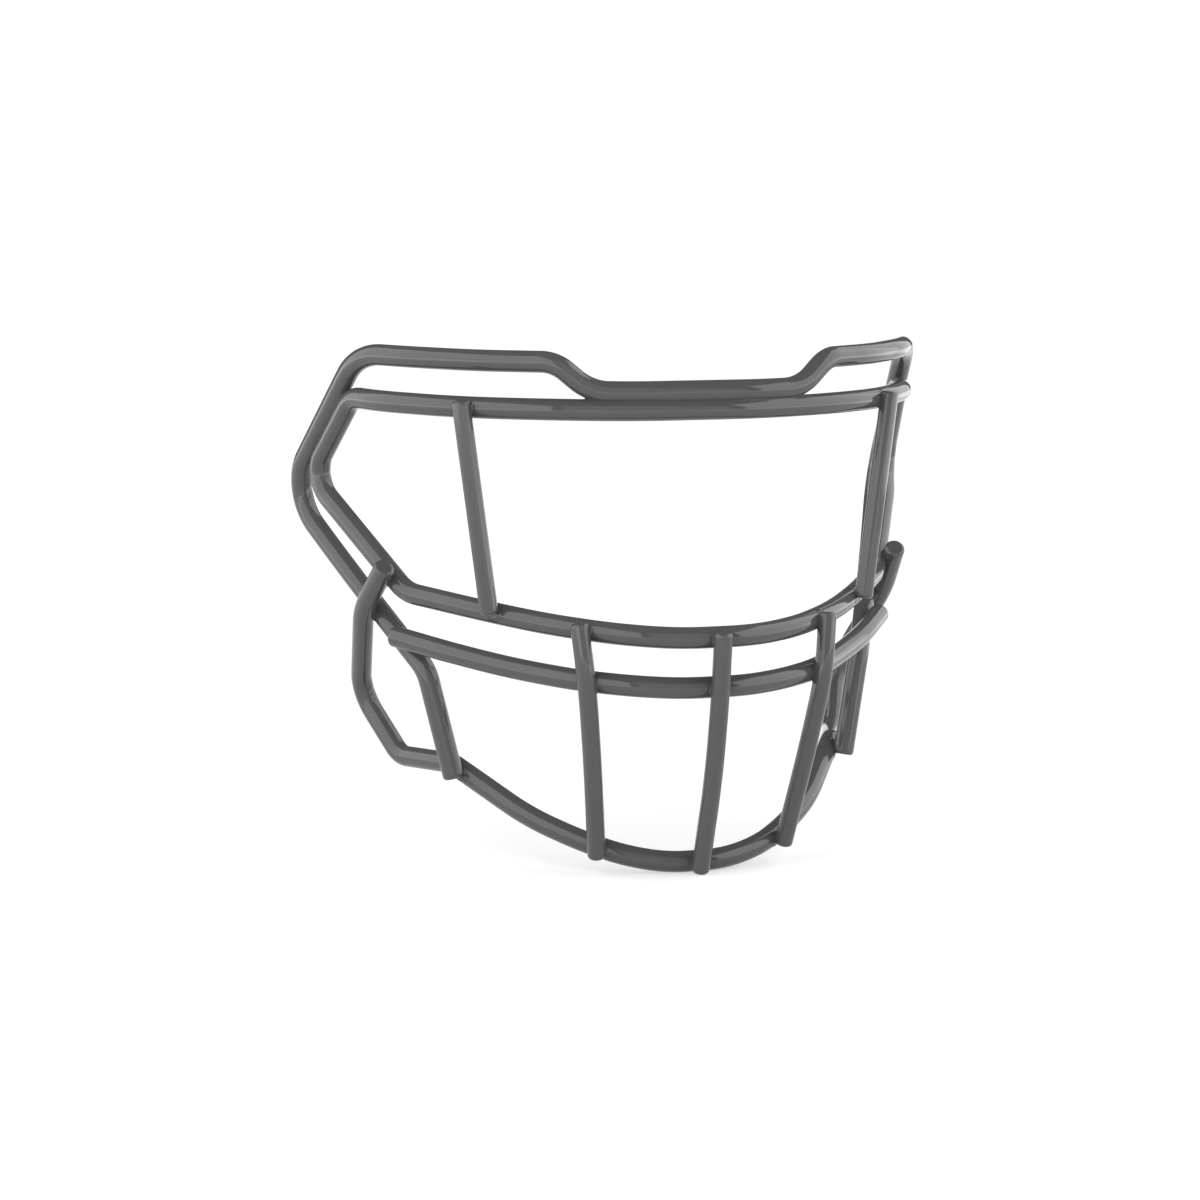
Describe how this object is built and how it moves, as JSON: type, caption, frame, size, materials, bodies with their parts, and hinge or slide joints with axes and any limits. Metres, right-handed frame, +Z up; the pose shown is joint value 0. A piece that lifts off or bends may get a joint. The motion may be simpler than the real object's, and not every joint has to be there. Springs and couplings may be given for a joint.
{
  "type": "helmet facemask",
  "caption": "Wire face guard for a sports helmet: bent steel bars and upright posts, welded and plastic coated, with an open eye window and looped jaw sides.",
  "frame": {"origin": "middle of the underside of the box round the guard, on its middle plane", "axes": "+X to the right of someone who faces the guard, -Y the way the wearer looks, +Z up as worn"},
  "size_m": [0.2272, 0.1316, 0.1761],
  "materials": {
    "steel_wire": "drawn wire, sealed under the coat",
    "coat": "semi-gloss dark grey dipped coat",
    "weld_metal": "as welded"
  },
  "bodies": {
    "root": {"brow_bar_wire": "steel_wire", "eye_ring_wire": "steel_wire", "middle_bar_wire": "steel_wire", "jaw_bar_wire": "steel_wire", "left_eye_post_wire": "steel_wire", "right_eye_post_wire": "steel_wire", "left_post_wire": "steel_wire", "centre_post_wire": "steel_wire", "right_post_wire": "steel_wire", "brow_bar_coat": "coat", "eye_ring_coat": "coat", "middle_bar_coat": "coat", "jaw_bar_coat": "coat", "left_eye_post_coat": "coat", "right_eye_post_coat": "coat", "left_post_coat": "coat", "centre_post_coat": "coat", "right_post_coat": "coat", "left_eye_post_welds": "weld_metal", "right_eye_post_welds": "weld_metal", "left_post_welds": "weld_metal", "centre_post_welds": "weld_metal", "right_post_welds": "weld_metal", "brow_ring_welds": "weld_metal", "middle_bar_welds": "weld_metal", "jaw_bar_welds": "weld_metal"}
  },
  "joints": []
}
